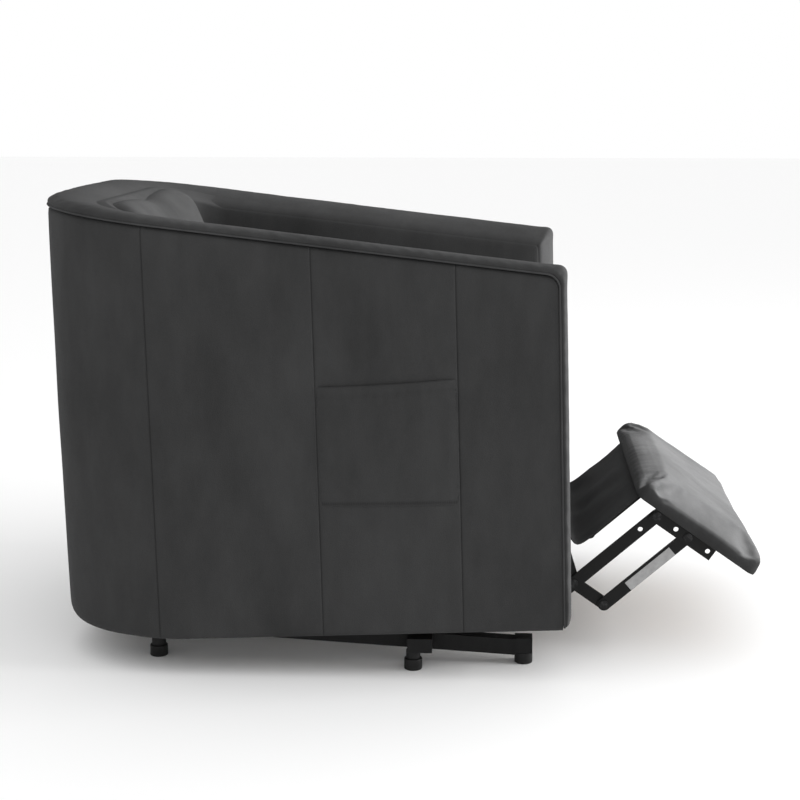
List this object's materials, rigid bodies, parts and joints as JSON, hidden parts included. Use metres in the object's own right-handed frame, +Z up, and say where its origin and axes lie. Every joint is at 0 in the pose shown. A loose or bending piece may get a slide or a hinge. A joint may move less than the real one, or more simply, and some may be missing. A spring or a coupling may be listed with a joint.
{
  "type": "recliner armchair",
  "caption": "Push-back tub recliner: upholstered barrel shell with padded rim, loose cushions, linked footrest partly swung out, on a low steel base with round glides.",
  "frame": {"origin": "on the floor under the middle of the chair's box, with the footrest partly swung out", "axes": "+Z up, -Y forward (the way the sitter looks), -X to the sitter's right"},
  "size_m": [0.7626, 1.1364, 0.7204],
  "materials": {
    "cover_fabric": "short-pile charcoal upholstery",
    "piping_fabric": "covered piping cord",
    "frame_wood": "raw plywood and board",
    "webbing": "woven elastic webbing",
    "black_steel": "black powder coat, satin",
    "zinc_steel": "blackened steel rivets and screws",
    "black_plastic": "moulded, slightly glossy",
    "label_film": "plain paper film"
  },
  "bodies": {
    "base": {"base_rail_left": "black_steel", "base_rail_right": "black_steel", "front_posts": "black_steel", "foot_stems": "black_plastic", "foot_front_left": "black_plastic", "foot_front_right": "black_plastic", "foot_middle_left": "black_plastic", "foot_middle_right": "black_plastic", "foot_rear_left": "black_plastic", "foot_rear_right": "black_plastic", "base_tube_middle": "black_steel", "outriggers": "black_steel", "base_tube_rear": "black_steel", "base_upright_left": "black_steel", "base_upright_right": "black_steel"},
    "tub": {"plate_screws": "zinc_steel", "seat_side_rail_left": "frame_wood", "seat_side_rail_right": "frame_wood", "seat_rear_rail": "frame_wood", "seat_front_rail": "frame_wood", "seat_front_cover": "cover_fabric", "seat_webbing": "webbing", "seat_cushion": "cover_fabric", "back_cushion": "cover_fabric", "arm_frame_left": "frame_wood", "arm_frame_right": "frame_wood", "arm_cover_left": "cover_fabric", "arm_cover_right": "cover_fabric", "back_frame": "frame_wood", "back_cover": "cover_fabric", "rim_pad": "cover_fabric", "rim_piping": "piping_fabric", "arm_front_pad_left": "cover_fabric", "arm_front_pad_right": "cover_fabric", "side_pocket_left": "cover_fabric", "side_pocket_right": "cover_fabric", "stay_pins": "zinc_steel", "side_plate_left": "black_steel", "side_plate_right": "black_steel", "recline_pins": "zinc_steel", "gap_flap": "cover_fabric"},
    "swing": {"swing_link_left": "black_steel", "swing_link_right": "black_steel", "drive_shaft": "black_steel", "swing_rivets": "zinc_steel"},
    "upper_right": {"upper_link_right": "black_steel", "tail_pin_right": "zinc_steel"},
    "upper_left": {"upper_link_left": "black_steel", "tail_pin_left": "zinc_steel"},
    "lower_right": {"lower_link_right": "black_steel", "blank_label": "label_film"},
    "lower_left": {"lower_link_left": "black_steel"},
    "stay_right": {"stay_link_right": "black_steel"},
    "stay_left": {"stay_link_left": "black_steel"},
    "footrest": {"pad_bracket_left": "black_steel", "pad_bracket_right": "black_steel", "bracket_rivets": "zinc_steel", "footrest_screws": "zinc_steel", "footrest_pad": "cover_fabric", "footrest_board": "frame_wood"}
  },
  "joints": [
    {"name": "tub_recline", "type": "hinge", "parent": "base", "child": "tub", "pos_m": [0, 0.2649, 0.175], "axis": [-1, 0, 0], "range_deg": [-1.6, 6.4]},
    {"name": "footrest_swing", "type": "hinge", "parent": "tub", "child": "swing", "pos_m": [0, -0.20287, 0.33312], "axis": [-1, 0, 0], "range_deg": [-53.7, 36.3], "deforming": ["gap_flap"]},
    {"name": "upper_link_right_turn", "type": "hinge", "parent": "swing", "child": "upper_right", "pos_m": [0, -0.27056, 0.11049], "axis": [-1, 0, 0], "range_deg": [-32.24, 47.56]},
    {"name": "lower_link_right_turn", "type": "hinge", "parent": "swing", "child": "lower_right", "pos_m": [0, -0.31907, 0.0769], "axis": [-1, 0, 0], "range_deg": [-32.24, 47.56]},
    {"name": "stay_right_turn", "type": "hinge", "parent": "tub", "child": "stay_right", "pos_m": [0, -0.16098, 0.30226], "axis": [-1, 0, 0], "range_deg": [-53.21, 36.06]},
    {"name": "upper_link_left_turn", "type": "hinge", "parent": "swing", "child": "upper_left", "pos_m": [0, -0.27056, 0.11049], "axis": [-1, 0, 0], "range_deg": [-32.24, 47.56]},
    {"name": "lower_link_left_turn", "type": "hinge", "parent": "swing", "child": "lower_left", "pos_m": [0, -0.31907, 0.0769], "axis": [-1, 0, 0], "range_deg": [-32.24, 47.56]},
    {"name": "stay_left_turn", "type": "hinge", "parent": "tub", "child": "stay_left", "pos_m": [0, -0.16098, 0.30226], "axis": [-1, 0, 0], "range_deg": [-53.21, 36.06]},
    {"name": "footrest_level", "type": "hinge", "parent": "upper_right", "child": "footrest", "pos_m": [0, -0.39953, 0.22277], "axis": [-1, 0, 0], "range_deg": [-47.56, 32.24]}
  ],
  "couplings": [
    {"joint": "upper_link_right_turn", "follows": "footrest_swing", "ratio": -0.88},
    {"joint": "lower_link_right_turn", "follows": "footrest_swing", "ratio": -0.88},
    {"joint": "stay_right_turn", "follows": "footrest_swing", "ratio": 0.9852},
    {"joint": "upper_link_left_turn", "follows": "footrest_swing", "ratio": -0.88},
    {"joint": "lower_link_left_turn", "follows": "footrest_swing", "ratio": -0.88},
    {"joint": "stay_left_turn", "follows": "footrest_swing", "ratio": 0.9852},
    {"joint": "footrest_level", "follows": "footrest_swing", "ratio": 0.88}
  ]
}
